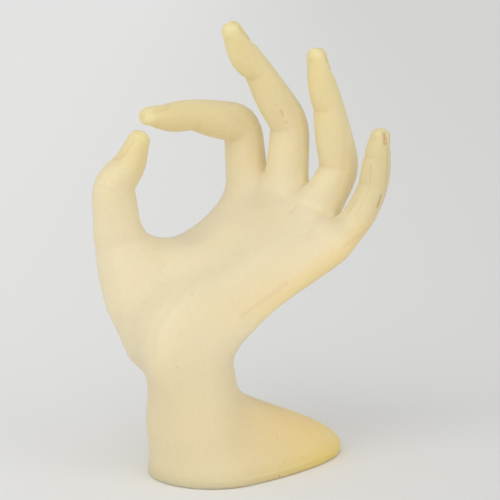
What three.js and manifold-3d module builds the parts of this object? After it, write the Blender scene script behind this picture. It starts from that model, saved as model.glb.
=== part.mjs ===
// A cast-resin display hand on its own flared foot: the thumb and index close a ring and the
// other three fingers fan out behind them. The forms of the hand are rounded tubes, one for the
// wrist and palm, one for each digit and a few for pads and webs, that run softly into each other.
// The casting is built in sections that meet at the wrist and at the roots of the digits, and
// stands on a thin pad.
//
// Millimetres, +Z up. The origin lies on the table at the middle of the foot's length, the palm
// looks towards -Y, the foot's long toe points to +Y, and the thumb is on the -X side.
import * as THREE from "three";
import { mergeVertices } from "three/addons/utils/BufferGeometryUtils.js";
import Module from "manifold-3d";

const wasm = await Module();
wasm.setup();

// Bond line left between neighbouring sections
const BOND = 0.3;

// Foot and pad
const PAD_THICKNESS = 0.6;
const PAD_INSET = 1.4;
const FOOT_HALF_WIDTH = 27;
const FOOT_HEEL = 47.5;
const FOOT_TOE = 47.5;
const FOOT_RIM_HEIGHT = 3;
const FOOT_WAIST_Y = -22;
const TOE_FALL = 0.92;

// The foot draws in above this height, where the wrist takes over from it
const FOOT_FADE_HEIGHT = 22;
const FOOT_FADE_DEPTH = 5;

// Wrist
const WRIST_SIDE = -1.5;
const WRIST_Y = -30;
const WRIST_HEIGHT = 45;
const WRIST_HALF_WIDTH = 19.2;
const WRIST_HALF_DEPTH = 15.2;
const WRIST_BACK_DEPTH = 16.7;
const WRIST_DROP = 20;
const NECK_RISE = 12;

// Palm: a slab that leans back from the neck of the wrist to the row of knuckles, and the low
// wall on which the fingers stand
const PALM_LENGTH = 68;
const PALM_LEAN = 54;
const NECK_HALF_WIDTH = 20;
const NECK_BACK_DEPTH = 12;
const MIDDLE_HALF_WIDTH = 24.4;
const MIDDLE_FRONT_DEPTH = 13;
const MIDDLE_BACK_DEPTH = 2.5;
const KNUCKLE_HALF_WIDTH = 31;
const KNUCKLE_BACK_DEPTH = 8;
const PALM_FRONT_DEPTH = 14;
const PALM_ROUNDING = 8;
const MOUND_REACH = 30;

// Mounds of the palm: place along it as a share of its length, place across it, how far each
// spreads both ways, and how high it stands
const MOUNDS = [
  { along: -0.05, across: 7, length: 0.4, width: 13, height: 10 },
  { along: 0.5, across: 16, length: 0.35, width: 10, height: 4 },
  { along: 0.5, across: -20, length: 0.45, width: 14, height: 14 },
  { along: 0.1, across: -12, length: 0.35, width: 14, height: 9 },
  { along: 0.6, across: 0, length: 0.35, width: 20, height: 3 },
];

// Smaller forms of the palm. Each starts at a place in the palm, given as a share of its length, to
// the side and to the front, or at an offset from a root; or it ends a share of the way from the
// thumb's knuckle to the pad under the index, some way below the knuckle.
const INDEX_PAD = { from: [0.35, -20, 5], offset: [1, -8, 7], radii: [12.2, 10.2] };
const THUMB_WEB = { offset: [0, 6, 0], share: 0.4, drop: 6.2, half: [11, 14, 14], top: 7, spread: 0.4 };
const WEB_FOLD = { share: 0.42, drop: 13, rise: -3, radii: [7, 9.2] };
const BRIDGE = { offset: [-8.5, -8, 7], share: 0.36, drop: 18, shift: [2, -2, 0], radii: [13, 12] };
const SADDLE = { share: 0.45, to: [0.45, -9, 11], radius: 10 };
const FINGER_WALL = { from: [0.75, -4, 0], offset: [-5, 2, 12], foot: [21, 7, 14], top: [18, 7, 10] };

// Rays under the back of the hand, as a share of the palm's length where they start
const RAY_START = 0.3;

// Digits: where each starts beside the knuckles or, for the thumb, beside the neck of the wrist;
// the distance of its section from there; the half width, back depth and front depth at the start
// of its ray, its root and the end of each bone; the length, forward tilt and sideways lean of
// each bone; the swelling of the front over its last bones; and how far its path is rounded.
const DIGITS = {
  thumb: {
    start: [-17, -5, 1],
    section: 48,
    sizes: [[12.5, 16, 17], [13.5, 16, 17.5], [10, 9.6, 12], [8, 8.6, 10.4], [6.6, 9.6, 5.2], [4.4, 5.2, 4.4]],
    bones: [[20, 13, -19], [25, 13, -19], [24.5, 9, 3], [11.5, -22, 19], [10.6, -22, 18]],
    pads: [],
    rounding: 2.6,
  },
  index_finger: {
    start: [-27, -3, 0],
    section: 31,
    sizes: [[8.2, 8, 10], [9.2, 10, 10], [7.8, 9.2, 8], [6.6, 7.2, 6.2], [5, 4.4, 4.6]],
    bones: [[49.5, 6, 0], [30, 79, 4], [24.3, 88, 7]],
    pads: [1, 1.2, 1.2],
    rounding: 5,
  },
  middle_finger: {
    start: [-9, 1, -2],
    section: 32.5,
    sizes: [[8.6, 8, 10], [9.6, 10, 10], [8.2, 8.6, 8.6], [6.4, 6.2, 6.2], [4.8, 4.2, 4.4]],
    bones: [[52, -4, 0], [30.5, 37, 0], [21.8, 40, 0]],
    pads: [1, 1.4, 2],
    rounding: 4.5,
  },
  ring_finger: {
    start: [8.2, 0, -3],
    section: 26,
    sizes: [[8.4, 8, 9.8], [7.6, 4.6, 9.8], [8.4, 9.3, 8.6], [6.7, 7, 6.6], [4.9, 4.6, 4.6]],
    bones: [[38.6, -29, 0], [28.4, 14.4, 0], [22.3, 19, 0]],
    pads: [2.5, 1.2, 1.2],
    rounding: 4.5,
  },
  little_finger: {
    start: [26, 2.6, -1],
    section: 20,
    sizes: [[3.6, 1.2, 6], [5.4, 3.8, 5.6], [6.8, 8.4, 5.8], [6.4, 7, 6.2], [5.8, 5.8, 5.8], [4.4, 4.2, 4.4]],
    bones: [[15.7, -37, 2], [15.7, -37, 2], [13.6, -6, 5], [8.3, -4, 3]],
    pads: [0.9, 0.9],
    rounding: 5,
  },
};
const FINGERS = Object.keys(DIGITS).filter((name) => name !== "thumb");

// Skin between neighbouring fingers: its height above their roots, and its half sizes
const FINGER_WEB = [5, 5, 6.5];
const FINGER_WEB_HEIGHTS = [26, 24, 3];

// How far one form runs softly into the next
const BODY_BLEND = 10;
const THUMB_BLEND = 9;
const ROOT_BLEND = 8;

// Facets: spacing of the places on a tube's path, and size of the facets of the body and digits
const PATH_STEP = 1.2;
const BODY_FACET = 3.4;
const DIGIT_FACET = 2.7;
const FAR = 14;

const UP = new THREE.Vector3(0, 0, 1);
const BACKWARD = new THREE.Vector3(0, 1, 0);
const RADIANS = Math.PI / 180;
const { clamp, lerp, smoothstep } = THREE.MathUtils;

/** A vector from its three parts. */
function vector(x, y, z) {
  return new THREE.Vector3(x, y, z);
}

/** Direction of a bone from its tilt towards the palm side and its lean sideways. */
function heading(tilt, lean) {
  const a = tilt * RADIANS;
  const b = lean * RADIANS;
  return vector(Math.sin(b), -Math.sin(a) * Math.cos(b), Math.cos(a) * Math.cos(b));
}

/** Back-of-hand side of a bone: the heading turned a quarter circle away from the palm. */
function backOf(tilt) {
  const a = tilt * RADIANS;
  return vector(0, Math.cos(a), Math.sin(a));
}

/** Union of two distances, rounded off where they differ by less than the blend's width. */
function join(a, b, width) {
  const h = clamp(0.5 + (0.5 * (b - a)) / width, 0, 1);
  return lerp(b, a, h) - width * h * (1 - h);
}

/** Rows of values on straight lines between stops, averaged along the path under a bell. */
function softened(stops, rows, count, step, width) {
  const straight = (at) => {
    let k = 1;
    while (k < stops.length - 1 && at > stops[k]) {
      k += 1;
    }
    const t = (at - stops[k - 1]) / (stops[k] - stops[k - 1]);
    return rows[k].map((value, c) => lerp(rows[k - 1][c], value, t));
  };
  const reach = Math.floor((3 * width) / step);
  return Array.from({ length: count }, (_, i) => {
    const sum = rows[0].map(() => 0);
    let weight = 0;
    for (let k = -reach; k <= reach; k += 1) {
      const bell = width > 0 ? Math.exp(-0.5 * ((k * step) / width) ** 2) : 1;
      straight((i + k) * step).forEach((value, c) => {
        sum[c] += bell * value;
      });
      weight += bell;
    }
    return sum.map((value) => value / weight);
  });
}

/**
 * A tube: an oval section carried along a path through joints, with its own half width, back depth
 * and front depth at each joint, rounded ends, and pads and a relief that swell its front.
 */
class Tube {
  constructor(joints, backs, sizes, { pads = [], rounding = 0, caps = [1, 1], relief = null } = {}) {
    const stops = [0];
    joints.slice(1).forEach((place, i) => stops.push(stops[i] + place.distanceTo(joints[i])));
    this.count = Math.floor(stops.at(-1) / PATH_STEP) + 2;
    this.step = stops.at(-1) / (this.count - 1);
    const soft = (rows, width) => softened(stops, rows, this.count, this.step, width);
    const places = soft(joints.map((v) => v.toArray()), rounding).map((row) => vector(...row));
    const lookBack = soft(backs.map((v) => v.toArray()), Math.max(rounding, 1));
    const halves = soft(sizes, rounding * 0.7);
    this.stations = places.map((place, i) => {
      const along = places[Math.min(i + 1, this.count - 1)].clone().sub(places[Math.max(i - 1, 0)]).normalize();
      const across = vector(...lookBack[i]).cross(along).normalize();
      const front = across.clone().cross(along);
      pads.forEach((height, k) => {
        const first = stops.length - 1 - pads.length + k;
        const share = clamp((i * this.step - stops[first]) / (stops[first + 1] - stops[first]), 0, 1);
        halves[i][2] += height * Math.sin(Math.PI * share);
      });
      return [...place, ...along, ...across, ...front, ...halves[i]];
    });
    this.joints = joints;
    this.relief = relief;
    this.caps = caps.map((cap, end) => cap * Math.min(...sizes.at(-end).slice(0, 2)));
    const room = Math.max(...halves.flat()) + FAR + (relief ? MOUND_REACH : 0);
    this.box = new THREE.Box3().setFromPoints(places).expandByScalar(room);
  }

  /** Number of the nearest place on the path, with the share of a step beyond it. */
  nearest(x, y, z) {
    const away = (i) => {
      const at = this.stations[i];
      return (x - at[0]) ** 2 + (y - at[1]) ** 2 + (z - at[2]) ** 2;
    };
    let best = 0;
    let least = Infinity;
    for (let i = 0; i < this.count; i += 1) {
      const d = away(i);
      if (d < least) {
        least = d;
        best = i;
      }
    }
    const inner = clamp(best, 1, Math.max(this.count - 2, 1));
    const before = away(inner - 1);
    const after = away(Math.min(inner + 1, this.count - 1));
    const bend = Math.max(before - 2 * away(inner) + after, 0.3 * this.step ** 2);
    return clamp(inner + clamp((0.5 * (before - after)) / bend, -1, 1), 0, this.count - 1);
  }

  /** Distance to the tube's skin, negative inside; a plain large one beyond the reach of any blend. */
  distance(x, y, z) {
    const { min, max } = this.box;
    if (x < min.x || x > max.x || y < min.y || y > max.y || z < min.z || z > max.z) {
      return FAR;
    }
    const place = this.nearest(x, y, z);
    const low = Math.min(Math.floor(place), this.count - 2);
    const first = this.stations[low];
    const second = this.stations[low + 1];
    const mix = (c) => lerp(first[c], second[c], place - low);
    const [dx, dy, dz] = [x - mix(0), y - mix(1), z - mix(2)];
    const part = (c) => dx * mix(c) + dy * mix(c + 1) + dz * mix(c + 2);
    const across = part(6);
    const front = part(9);
    const beyond = part(3);
    let past = 0;
    if (place === 0) {
      past = Math.min(beyond, 0);
    } else if (place === this.count - 1) {
      past = Math.max(beyond, 0);
    }
    const width = mix(12);
    let depth = front > 0 ? mix(14) : mix(13);
    if (this.relief && front > 0) {
      depth += this.relief(place * this.step, across);
    }
    const cap = past < 0 ? this.caps[0] : this.caps[1];
    const r = Math.hypot(across / width, front / depth, past / cap);
    const slope = Math.hypot(across / width ** 2, front / depth ** 2, past / cap ** 2);
    return (r * (r - 1)) / (slope + 1e-6);
  }
}

// Places that the forms share
const wrist = vector(WRIST_SIDE, WRIST_Y, WRIST_HEIGHT);
const neck = wrist.clone().addScaledVector(UP, NECK_RISE);
const palmBack = backOf(-PALM_LEAN);
const knuckles = neck.clone().addScaledVector(heading(-PALM_LEAN, 0), PALM_LENGTH).setX(0);

/** A place in the palm: a share of the way from neck to knuckles, then sideways and forward. */
function inPalm(share, side, front) {
  return neck.clone().lerp(knuckles, share).add(vector(side, 0, 0)).addScaledVector(palmBack, -front);
}

/** Where a digit starts. */
function rootOf(name) {
  return (name === "thumb" ? neck : knuckles).clone().add(vector(...DIGITS[name].start));
}

/** Height of the palm's mounds: a sum of soft round hills that fade out on the wrist. */
function mounds(along, across) {
  const t = (along - WRIST_DROP - NECK_RISE) / PALM_LENGTH;
  const hill = (mound) => {
    const run = (t - mound.along) / mound.length;
    const side = (across - mound.across) / mound.width;
    return mound.height * Math.exp(-(run ** 2) - side ** 2);
  };
  return MOUNDS.reduce((sum, mound) => sum + hill(mound), 0) * smoothstep(t, -0.5, 0);
}

/** The tube of a digit: a finger starts with its ray inside the palm, the thumb with its ball. */
function digit(name) {
  const { start, sizes, bones, pads, rounding } = DIGITS[name];
  const joints = [rootOf(name)];
  const backs = [backOf(bones[0][1])];
  for (const [length, tilt, lean] of bones) {
    joints.push(joints.at(-1).clone().addScaledVector(heading(tilt, lean), length));
    backs.push(backOf(tilt));
  }
  if (name !== "thumb") {
    joints.unshift(inPalm(RAY_START, start[0] * 0.5, 0));
    backs.unshift(palmBack);
  }
  return new Tube(joints, backs, sizes, { pads, rounding });
}

/** A plain round tube between two places. */
function bar(from, to, radii) {
  return new Tube([from, to], [BACKWARD, BACKWARD], radii.map((radius) => [radius, radius, radius]));
}

const digits = Object.fromEntries(Object.keys(DIGITS).map((name) => [name, digit(name)]));

/** Wrist and palm in one tube. */
function palmTube() {
  return new Tube(
    [wrist.clone().addScaledVector(UP, -WRIST_DROP), wrist, neck, inPalm(0.5, 0, 0), knuckles],
    [BACKWARD, BACKWARD, BACKWARD.clone().lerp(palmBack, 0.5), palmBack, palmBack],
    [
      [WRIST_HALF_WIDTH, WRIST_HALF_DEPTH, WRIST_HALF_DEPTH],
      [WRIST_HALF_WIDTH, WRIST_BACK_DEPTH, WRIST_HALF_DEPTH],
      [NECK_HALF_WIDTH, NECK_BACK_DEPTH, PALM_FRONT_DEPTH],
      [MIDDLE_HALF_WIDTH, MIDDLE_BACK_DEPTH, MIDDLE_FRONT_DEPTH],
      [KNUCKLE_HALF_WIDTH, KNUCKLE_BACK_DEPTH, PALM_FRONT_DEPTH],
    ],
    { rounding: PALM_ROUNDING, caps: [1, 1.6], relief: mounds },
  );
}

/** Pads, webs and swellings of the palm, each a short tube, with the blend that each needs. */
function palmForms() {
  const knuckle = digits.thumb.joints[2];
  const padEnd = rootOf("index_finger").add(vector(...INDEX_PAD.offset));
  const below = ({ share, drop }) => knuckle.clone().lerp(padEnd, share).setZ(knuckle.z - drop);
  const span = THUMB_WEB.spread * Math.abs(padEnd.y - knuckle.y);
  const indexPad = bar(inPalm(...INDEX_PAD.from), padEnd, INDEX_PAD.radii);
  const web = new Tube(
    [rootOf("thumb").add(vector(...THUMB_WEB.offset)), below(THUMB_WEB)],
    [BACKWARD, BACKWARD],
    [THUMB_WEB.half, [THUMB_WEB.top, span, span]],
    { caps: [1, 0.5] },
  );
  const fold = bar(below(WEB_FOLD), padEnd.clone().addScaledVector(UP, WEB_FOLD.rise), WEB_FOLD.radii);
  const bridgeStart = neck.clone().add(vector(...BRIDGE.offset));
  const bridge = bar(bridgeStart, below(BRIDGE).add(vector(...BRIDGE.shift)), BRIDGE.radii);
  const saddleStart = digits.thumb.joints[1].clone().lerp(knuckle, SADDLE.share);
  const saddle = bar(saddleStart, inPalm(...SADDLE.to), [SADDLE.radius, SADDLE.radius]);
  const wall = new Tube(
    [inPalm(...FINGER_WALL.from), knuckles.clone().add(vector(...FINGER_WALL.offset))],
    [palmBack, BACKWARD],
    [FINGER_WALL.foot, FINGER_WALL.top],
    { caps: [1, 0.5] },
  );
  return { wide: [indexPad, web], narrow: [fold, bridge, wall, saddle, ...fingerWebs()] };
}

/** Skin between the roots of neighbouring fingers. */
function fingerWebs() {
  return FINGER_WEB_HEIGHTS.map((height, i) => {
    const pair = FINGERS.slice(i, i + 2);
    const start = rootOf(pair[0]).lerp(rootOf(pair[1]), 0.5);
    const [first, second] = pair.map((name) => heading(...DIGITS[name].bones[0].slice(1)));
    const end = start.clone().addScaledVector(first.add(second), 0.5 * (height - FINGER_WEB[1]));
    return new Tube([start, end], [BACKWARD, BACKWARD], [FINGER_WEB, FINGER_WEB]);
  });
}

const palmAndWrist = palmTube();
const forms = palmForms();

/** Half width, middle, front, back and widest place of the foot's egg-shaped section at a height. */
function footSection(z) {
  const low = PAD_THICKNESS + FOOT_RIM_HEIGHT;
  const t = clamp((z - low) / (WRIST_HEIGHT - low), 0, 1);
  const flare = (1 - t) ** 2;
  const sweep = 0.5 + 0.5 * Math.cos(Math.PI * t ** TOE_FALL);
  return {
    half: lerp(WRIST_HALF_WIDTH, FOOT_HALF_WIDTH, flare),
    middle: lerp(WRIST_SIDE, 0, flare),
    front: lerp(WRIST_Y - WRIST_HALF_DEPTH, -FOOT_HEEL, flare),
    back: lerp(WRIST_Y + WRIST_HALF_DEPTH, FOOT_TOE, sweep),
    waist: lerp(WRIST_Y, FOOT_WAIST_Y, flare),
  };
}

/** Distance to the foot's side wall, which draws in where the wrist takes over. */
function footDistance(x, y, z) {
  const { half, middle, front, back, waist } = footSection(z);
  const side = x - middle;
  const run = y - waist;
  const depth = run > 0 ? back - waist : waist - front;
  const r = Math.hypot(side / half, run / depth);
  const slope = Math.hypot(side / half ** 2, run / depth ** 2);
  const rise = clamp((z - FOOT_FADE_HEIGHT) / (WRIST_HEIGHT - FOOT_FADE_HEIGHT), 0, 6);
  return (r * (r - 1)) / (slope + 1e-6) + FOOT_FADE_DEPTH * rise ** 2;
}

/** Distance to the wrist, palm and foot without the digits. */
function bodyDistance(x, y, z) {
  let body = join(palmAndWrist.distance(x, y, z), footDistance(x, y, z), BODY_BLEND);
  for (const form of forms.wide) {
    body = join(body, form.distance(x, y, z), BODY_BLEND);
  }
  for (const form of forms.narrow) {
    body = join(body, form.distance(x, y, z), ROOT_BLEND);
  }
  return body;
}

/** Distance to the body with one digit run into it. */
function withDigit(name, body, x, y, z) {
  return join(body, digits[name].distance(x, y, z), name === "thumb" ? THUMB_BLEND : ROOT_BLEND);
}

/** Distance to the whole hand. */
function handDistance(x, y, z) {
  const body = bodyDistance(x, y, z);
  return Math.min(...Object.keys(digits).map((name) => withDigit(name, body, x, y, z)));
}

/** A closed solid from a geometry whose vertices are merged by place alone. */
function solid(geometry) {
  geometry.deleteAttribute("normal");
  geometry.deleteAttribute("uv");
  const merged = mergeVertices(geometry, 1e-4);
  const mesh = new wasm.Mesh({
    numProp: 3,
    vertProperties: Float32Array.from(merged.attributes.position.array),
    triVerts: Uint32Array.from(merged.index.array),
  });
  return new wasm.Manifold(mesh);
}

/**
 * The skin where a distance is zero, as a geometry: a vertex in each cell of a box grid that the
 * skin crosses, a pair of facets across each grid edge that it crosses, and then the vertices spread
 * evenly and drawn onto the skin. The skin is closed at the sides of the box.
 */
function skin(distance, box, facet) {
  const size = box.getSize(vector(0, 0, 0));
  const count = size.toArray().map((side) => Math.ceil(side / facet) + 1);
  const index = (i, j, k) => (i * count[1] + j) * count[2] + k;
  const place = (i, j, k) => [box.min.x + i * facet, box.min.y + j * facet, box.min.z + k * facet];
  const values = new Float64Array(count[0] * count[1] * count[2]);
  const rim = (at) => at.some((n, axis) => n === 0 || n === count[axis] - 1);
  const each = (visit) => {
    for (let i = 0; i < count[0]; i += 1) {
      for (let j = 0; j < count[1]; j += 1) {
        for (let k = 0; k < count[2]; k += 1) {
          visit([i, j, k]);
        }
      }
    }
  };
  each((at) => {
    values[index(...at)] = rim(at) ? facet : distance(...place(...at));
  });
  // A grid face with corners in and out by turns would pinch the skin, so its corner nearest the
  // skin changes sides
  each((at) => {
    for (let axis = 0; axis < 3; axis += 1) {
      const u = (axis + 1) % 3;
      const v = (axis + 2) % 3;
      if (at[u] + 1 === count[u] || at[v] + 1 === count[v]) {
        continue;
      }
      const ring = [[0, 0], [1, 0], [1, 1], [0, 1]].map(([du, dv]) => {
        const corner = [...at];
        corner[u] += du;
        corner[v] += dv;
        return index(...corner);
      });
      if (ring.every((n, k) => values[n] < 0 !== values[ring[(k + 1) % 4]] < 0)) {
        const nearest = ring.reduce((a, b) => (Math.abs(values[b]) < Math.abs(values[a]) ? b : a));
        values[nearest] *= -1;
      }
    }
  });
  const sums = new Map();
  const sides = [];
  each((at) => {
    for (let axis = 0; axis < 3; axis += 1) {
      const next = at.map((n, c) => n + (c === axis ? 1 : 0));
      if (next[axis] === count[axis]) {
        continue;
      }
      const first = values[index(...at)];
      const last = values[index(...next)];
      if (first < 0 === last < 0) {
        continue;
      }
      const crossing = vector(...place(...at)).lerp(vector(...place(...next)), first / (first - last));
      const u = (axis + 1) % 3;
      const v = (axis + 2) % 3;
      const round = [[-1, -1], [0, -1], [0, 0], [-1, 0]].map(([du, dv]) => {
        const cell = [...at];
        cell[u] += du;
        cell[v] += dv;
        const key = index(...cell);
        const sum = sums.get(key) ?? { total: vector(0, 0, 0), hits: 0 };
        sum.total.add(crossing);
        sum.hits += 1;
        sum.fixed = cell.some((n, c) => n === 0 || n === count[c] - 2);
        sums.set(key, sum);
        return key;
      });
      sides.push(first < 0 ? round : round.reverse());
    }
  });
  const number = new Map([...sums.keys()].map((key, i) => [key, i]));
  const vertices = [...sums.values()].map(({ total, hits }) => total.divideScalar(hits));
  const fixed = [...sums.values()].map((sum) => sum.fixed);
  const quads = sides.map((side) => side.map((key) => number.get(key)));
  settle(distance, vertices, fixed, quads, facet);
  return facets(vertices, quads);
}

/** Spreads vertices among their neighbours and draws them onto the skin, each staying near its cell. */
function settle(distance, vertices, fixed, quads, facet) {
  const near = vertices.map(() => new Set());
  quads.forEach((quad) => quad.forEach((n, c) => {
    near[n].add(quad[(c + 1) % 4]).add(quad[(c + 3) % 4]);
  }));
  const homes = vertices.map((vertex) => vertex.clone());
  const h = 0.05;
  for (let round = 0; round < 4; round += 1) {
    const means = vertices.map((vertex, n) => {
      const mean = vector(0, 0, 0);
      near[n].forEach((m) => mean.add(vertices[m]));
      return vertex.clone().lerp(mean.divideScalar(near[n].size), 0.5);
    });
    means.forEach(({ x, y, z }, n) => {
      if (fixed[n]) {
        return;
      }
      const here = distance(x, y, z);
      const beside = vector(distance(x + h, y, z), distance(x, y + h, z), distance(x, y, z + h));
      const slope = beside.subScalar(here).divideScalar(h);
      const move = clamp(-here / Math.max(slope.lengthSq(), 0.1), -facet, facet);
      vertices[n].set(x, y, z).addScaledVector(slope, move);
      vertices[n].sub(homes[n]).clampLength(0, 0.5 * facet).add(homes[n]);
    });
  }
}

/** Two triangles to each quad, split along its shorter diagonal. */
function facets(vertices, quads) {
  const triangles = quads.flatMap(([a, b, c, d]) => {
    const short = vertices[a].distanceToSquared(vertices[c]) < vertices[b].distanceToSquared(vertices[d]);
    return short ? [a, b, c, a, c, d] : [a, b, d, b, c, d];
  });
  const geometry = new THREE.BufferGeometry().setFromPoints(vertices);
  geometry.setIndex(triangles);
  return geometry;
}

/** Half space as a large block: everything on the far side of a plane. */
function beyond(point, normal, size = 400) {
  const block = new THREE.BoxGeometry(size, size, size);
  block.translate(0, 0, size / 2);
  block.applyQuaternion(new THREE.Quaternion().setFromUnitVectors(UP, normal));
  block.translate(point.x, point.y, point.z);
  return solid(block);
}

/** The largest body of a solid that cuts have left in pieces. */
function largest(whole) {
  const bodies = whole.decompose();
  return bodies.reduce((a, b) => (b.volume() > a.volume() ? b : a));
}

/** Point and heading at which a digit's section starts. */
function sectionOf(name) {
  const point = rootOf(name);
  let left = DIGITS[name].section;
  for (const [length, tilt, lean] of DIGITS[name].bones) {
    const normal = heading(tilt, lean);
    if (left <= length) {
      return { point: point.addScaledVector(normal, left), normal };
    }
    point.addScaledVector(normal, length);
    left -= length;
  }
  throw new Error(`section past the end of ${name}`);
}

/**
 * A digit from its section to its tip, drawn in where the digit before it leans against it, with a
 * coarser and fatter copy that cuts it off the palm.
 */
function digitSection(name) {
  const { point, normal } = sectionOf(name);
  const tube = digits[name];
  const upper = tube.joints.filter((joint) => joint.clone().sub(point).dot(normal) > 0);
  const widest = Math.max(...DIGITS[name].sizes.flat());
  const box = new THREE.Box3().setFromPoints([point, ...upper]).expandByScalar(widest + 2 * BODY_FACET);
  const before = digits[Object.keys(digits)[Object.keys(digits).indexOf(name) - 1]];
  const run = (x, y, z) => {
    const whole = withDigit(name, bodyDistance(x, y, z), x, y, z);
    return before ? Math.max(whole, 2 * BOND - before.distance(x, y, z)) : whole;
  };
  const fat = (x, y, z) => tube.distance(x, y, z) - BODY_FACET;
  const own = solid(skin(run, box, DIGIT_FACET)).intersect(beyond(point, normal));
  const under = point.clone().addScaledVector(normal, -BOND);
  const cutter = solid(skin(fat, box, BODY_FACET)).intersect(beyond(under, normal));
  return { own: largest(own), cutter };
}

/** Box round the foot and the palm up to above the highest section. */
function bodyBox() {
  const tops = Object.keys(DIGITS).map((name) => sectionOf(name).point.z);
  const places = [
    vector(-FOOT_HALF_WIDTH, -FOOT_HEEL, 0),
    vector(FOOT_HALF_WIDTH, FOOT_TOE, Math.max(...tops)),
    ...digits.thumb.joints.slice(0, 3),
    ...FINGERS.map(rootOf),
    ...FINGERS.map((name) => sectionOf(name).point),
  ];
  const widest = Math.max(...Object.values(DIGITS).flatMap(({ sizes }) => sizes.flat()));
  const box = new THREE.Box3().setFromPoints(places).expandByScalar(widest);
  box.min.z = -3 * BODY_FACET;
  box.max.z = Math.max(...tops) + 2 * BODY_FACET;
  return box;
}

/** Pad: the foot's own outline, drawn in from the edge. */
function pad() {
  const disc = new THREE.CylinderGeometry(1, 1, PAD_THICKNESS, 36, 1);
  disc.rotateX(Math.PI / 2);
  disc.translate(0, 0, PAD_THICKNESS / 2);
  const at = disc.attributes.position;
  const { half, middle, front, back, waist } = footSection(0);
  for (let i = 0; i < at.count; i += 1) {
    const y = at.getY(i);
    const depth = (y > 0 ? back - waist : waist - front) - PAD_INSET;
    at.setXY(i, middle + at.getX(i) * (half - PAD_INSET), waist + y * depth);
  }
  return solid(disc);
}

const body = solid(skin(handDistance, bodyBox(), BODY_FACET));
const foot = body.intersect(beyond(vector(0, 0, PAD_THICKNESS), UP)).subtract(beyond(wrist, UP));
const sections = Object.fromEntries(Object.keys(DIGITS).map((name) => [name, digitSection(name)]));
let palm = body.intersect(beyond(wrist.clone().addScaledVector(UP, BOND), UP));
for (const { cutter } of Object.values(sections)) {
  palm = palm.subtract(cutter);
}

const RESIN = { color: 0xe4d2a2, roughness: 0.5, metalness: 0 };
const FELT = { color: 0xd8cdb0, roughness: 0.95, metalness: 0 };

/** A named mesh from a solid. */
function mesh(name, whole, look) {
  const { vertProperties, triVerts } = whole.getMesh();
  const geometry = new THREE.BufferGeometry();
  geometry.setAttribute("position", new THREE.BufferAttribute(vertProperties, 3));
  geometry.setIndex(new THREE.BufferAttribute(triVerts, 1));
  geometry.computeVertexNormals();
  const made = new THREE.Mesh(geometry, new THREE.MeshStandardMaterial(look));
  made.name = name;
  return made;
}

const hand = new THREE.Group();
hand.add(mesh("base_pad", pad(), FELT));
hand.add(mesh("base_foot", largest(foot), RESIN));
hand.add(mesh("palm", largest(palm), RESIN));
for (const [name, { own }] of Object.entries(sections)) {
  hand.add(mesh(name, own, RESIN));
}

export default hand;
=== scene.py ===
"""Resin display hand: one frosted, translucent casting on a thin felt pad, in the frame of its solids.

The shapes are worked out in millimetres and put into the meshes in metres.
"""

from functools import lru_cache
from math import cos, pi, radians, sin

import bpy
import numpy as np
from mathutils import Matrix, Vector


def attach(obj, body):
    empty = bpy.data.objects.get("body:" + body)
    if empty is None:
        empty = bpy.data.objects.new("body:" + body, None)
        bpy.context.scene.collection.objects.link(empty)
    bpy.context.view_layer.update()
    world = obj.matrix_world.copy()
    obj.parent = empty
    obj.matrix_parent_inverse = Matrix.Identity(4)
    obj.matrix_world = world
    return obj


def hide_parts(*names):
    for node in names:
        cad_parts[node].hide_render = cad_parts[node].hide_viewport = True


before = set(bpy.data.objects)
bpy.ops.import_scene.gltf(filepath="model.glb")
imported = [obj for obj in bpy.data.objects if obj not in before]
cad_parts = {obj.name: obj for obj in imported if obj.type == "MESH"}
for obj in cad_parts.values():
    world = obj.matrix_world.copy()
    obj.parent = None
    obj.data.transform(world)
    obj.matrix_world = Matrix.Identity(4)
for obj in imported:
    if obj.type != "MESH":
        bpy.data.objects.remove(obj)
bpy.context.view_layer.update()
MM = 0.001

# Foot and pad
PAD_THICKNESS = 0.6
PAD_INSET = 1.4
FOOT_HALF_WIDTH = 27.0
FOOT_HEEL = 47.5
FOOT_TOE = 47.5
FOOT_RIM_HEIGHT = 3.0
FOOT_WAIST_Y = -22.0
TOE_FALL = 0.92
FOOT_FADE_HEIGHT = 22.0
FOOT_FADE_DEPTH = 5.0
FOOT_FADE_LIMIT = 6
WRIST = np.array([-1.5, -30.0, 45.0])
WRIST_HALF_WIDTH = 19.2
WRIST_HALF_DEPTH = 15.2

# Palm, with the depth of its back at the wrist's top, the palm's start, its middle and its end
NECK_RISE = 12.0
COLUMN_DROP = 20.0
PALM_LENGTH = 68.0
PALM_LEAN = 54.0
PALM_START_HALF_WIDTH = 20.0
PALM_END_HALF_WIDTH = 31.0
PALM_MIDDLE_SHARE = 0.4
WRIST_TOP_BACK = 16.7
PALM_START_BACK = 12.0
PALM_MIDDLE_BACK = 2.5
PALM_END_BACK = 8.0
PALM_FRONT_DEPTH = 14.0
PALM_MIDDLE_FRONT = 13.0
PALM_SOFTEN = 8.0
PALM_CAPS = (1, 1.6)
RAY_START = 0.3
RAY_SPREAD = 0.5
# Swellings of the palm: share of its length, place across, length share, width and height
MOUNDS = (
    (-0.05, 7, 0.4, 13, 10),
    (0.5, 16, 0.35, 10, 4),
    (0.5, -20, 0.45, 14, 14),
    (0.1, -12, 0.35, 14, 9),
    (0.6, 0, 0.35, 20, 3),
)
MOUND_ROOM = 16.0
MOUND_START = -0.5

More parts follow.
